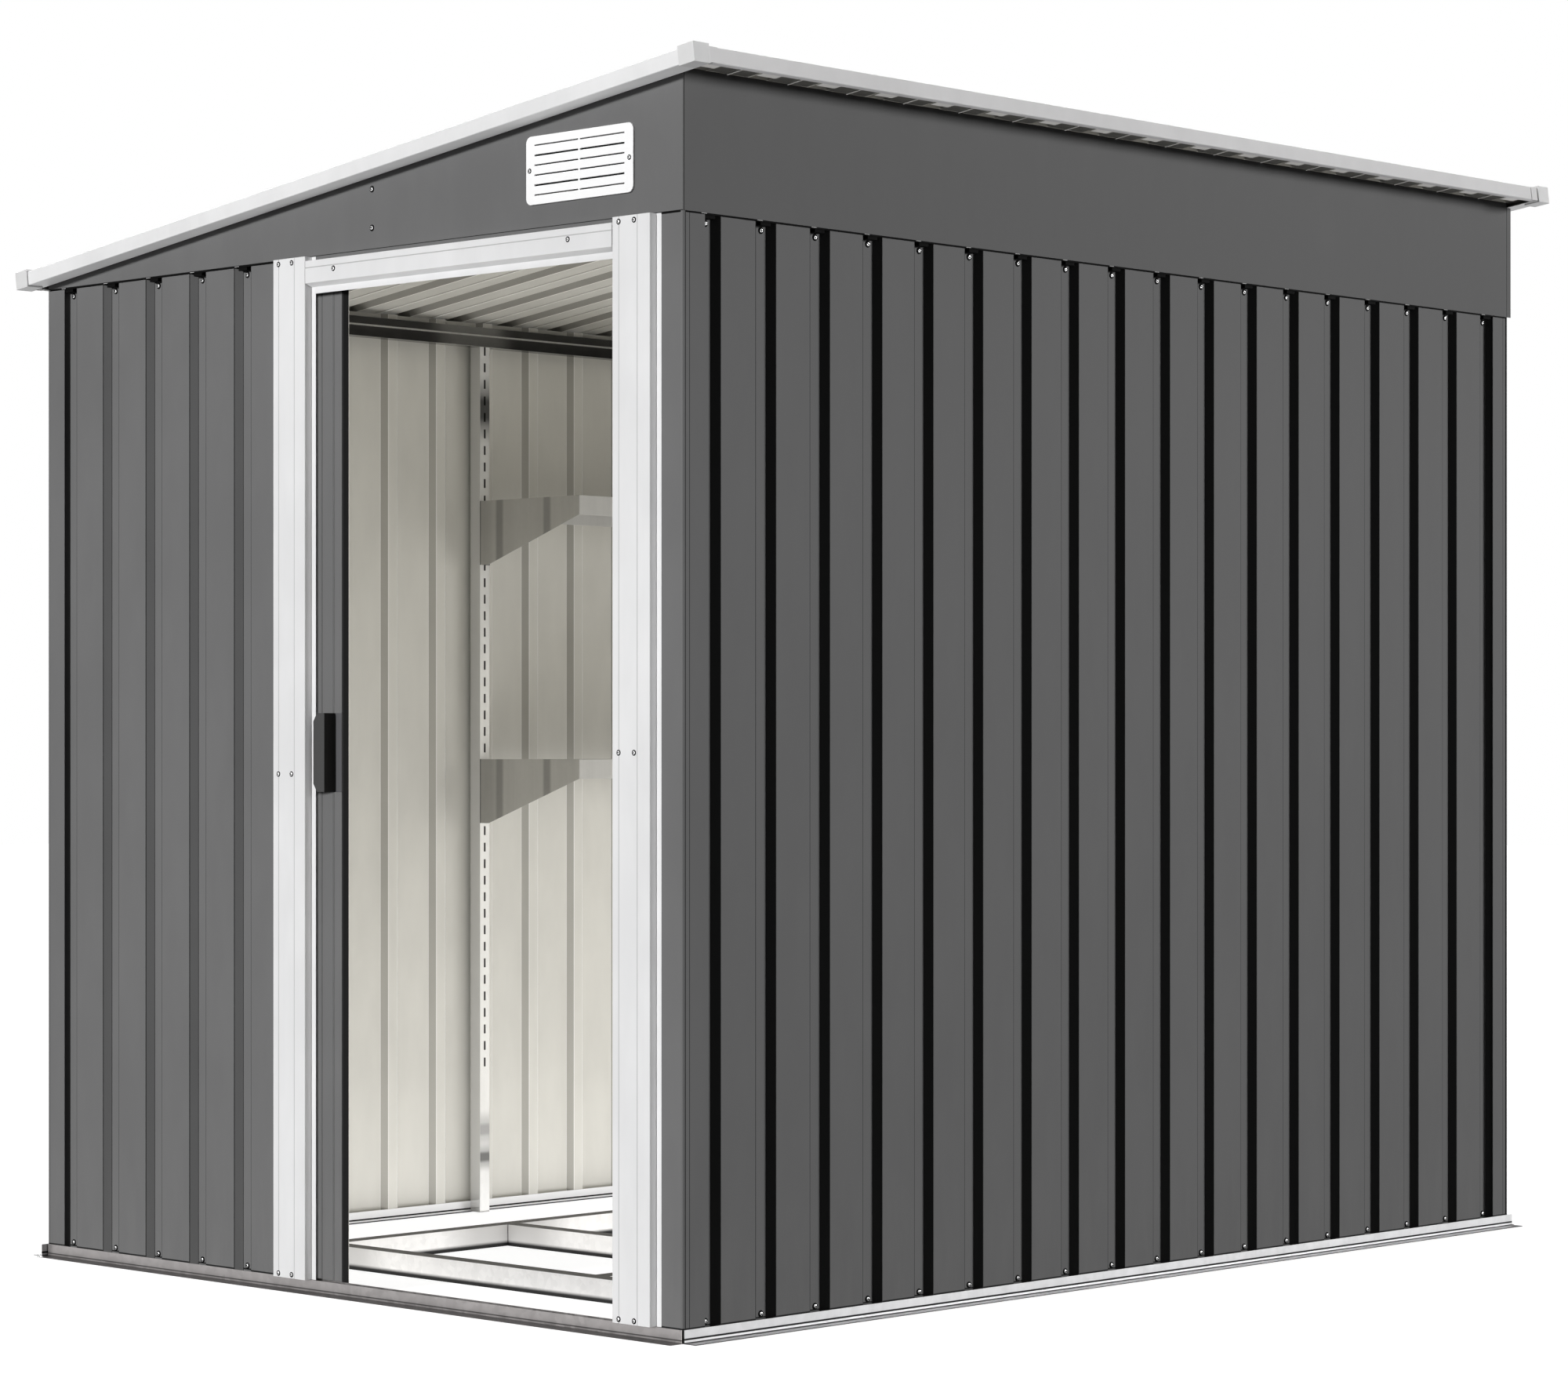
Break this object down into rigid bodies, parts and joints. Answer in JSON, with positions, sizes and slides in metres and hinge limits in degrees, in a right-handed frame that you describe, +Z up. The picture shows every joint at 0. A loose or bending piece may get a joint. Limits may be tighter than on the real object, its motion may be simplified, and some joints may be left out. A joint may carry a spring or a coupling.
{
  "type": "metal storage shed",
  "caption": "Metal garden storage shed with a single-slope roof, ribbed sheet walls, a sliding door, gable vents and an open galvanised floor frame.",
  "frame": {"origin": "centre of the whole object's footprint, on the ground", "axes": "+Z up, the door and front gable face -Y, +X towards the high wall"},
  "size_m": [1.866, 2.479, 2.1359],
  "materials": {
    "galvanised_base": "satin galvanised",
    "galvanised_inside": "satin galvanised",
    "wall_paint": "satin dark grey outside, cream inside",
    "vent_plastic": "satin white",
    "trim_paint": "satin white",
    "cap_plastic": "satin white",
    "door_paint": "satin dark grey",
    "handle_plastic": "fine textured black",
    "hanger_steel": "zinc plated",
    "roof_paint": "satin dark grey outside, cream inside"
  },
  "bodies": {
    "shed": {"base_rail_front": "galvanised_base", "base_rail_back": "galvanised_base", "base_rail_left": "galvanised_base", "base_rail_right": "galvanised_base", "floor_beams": "galvanised_base", "floor_cross_members": "galvanised_base", "corner_post_front_left": "wall_paint", "corner_post_front_right": "wall_paint", "corner_post_back_left": "wall_paint", "corner_post_back_right": "wall_paint", "front_wall_left": "wall_paint", "front_wall_right": "wall_paint", "right_wall": "wall_paint", "left_wall": "wall_paint", "back_wall": "wall_paint", "gable_front": "wall_paint", "gable_back": "wall_paint", "gable_struts": "galvanised_inside", "fascia_right": "wall_paint", "vent_front": "vent_plastic", "vent_back": "vent_plastic", "door_jamb_left": "trim_paint", "door_jamb_right": "trim_paint", "door_header": "trim_paint", "door_track": "galvanised_inside", "top_beam_back": "galvanised_inside", "top_beam_right": "galvanised_inside", "eave_beam_left": "galvanised_inside", "shelf_upright_front": "galvanised_inside", "shelf_upright_back": "galvanised_inside", "shelf_brackets": "galvanised_inside", "shelf_lower": "galvanised_inside", "shelf_upper": "galvanised_inside", "roof_panel_1": "roof_paint", "roof_panel_2": "roof_paint", "roof_panel_3": "roof_paint", "roof_panel_4": "roof_paint", "roof_trim_front": "trim_paint", "roof_trim_back": "trim_paint", "roof_trim_left": "trim_paint", "roof_trim_right": "trim_paint", "roof_corner_caps": "cap_plastic"},
    "door": {"door_leaf": "door_paint", "door_handle": "handle_plastic", "door_hangers": "hanger_steel"}
  },
  "joints": [
    {"name": "door_slide", "type": "slide", "parent": "shed", "child": "door", "axis": [1, 0, 0], "range_m": [0, 0.739]}
  ]
}
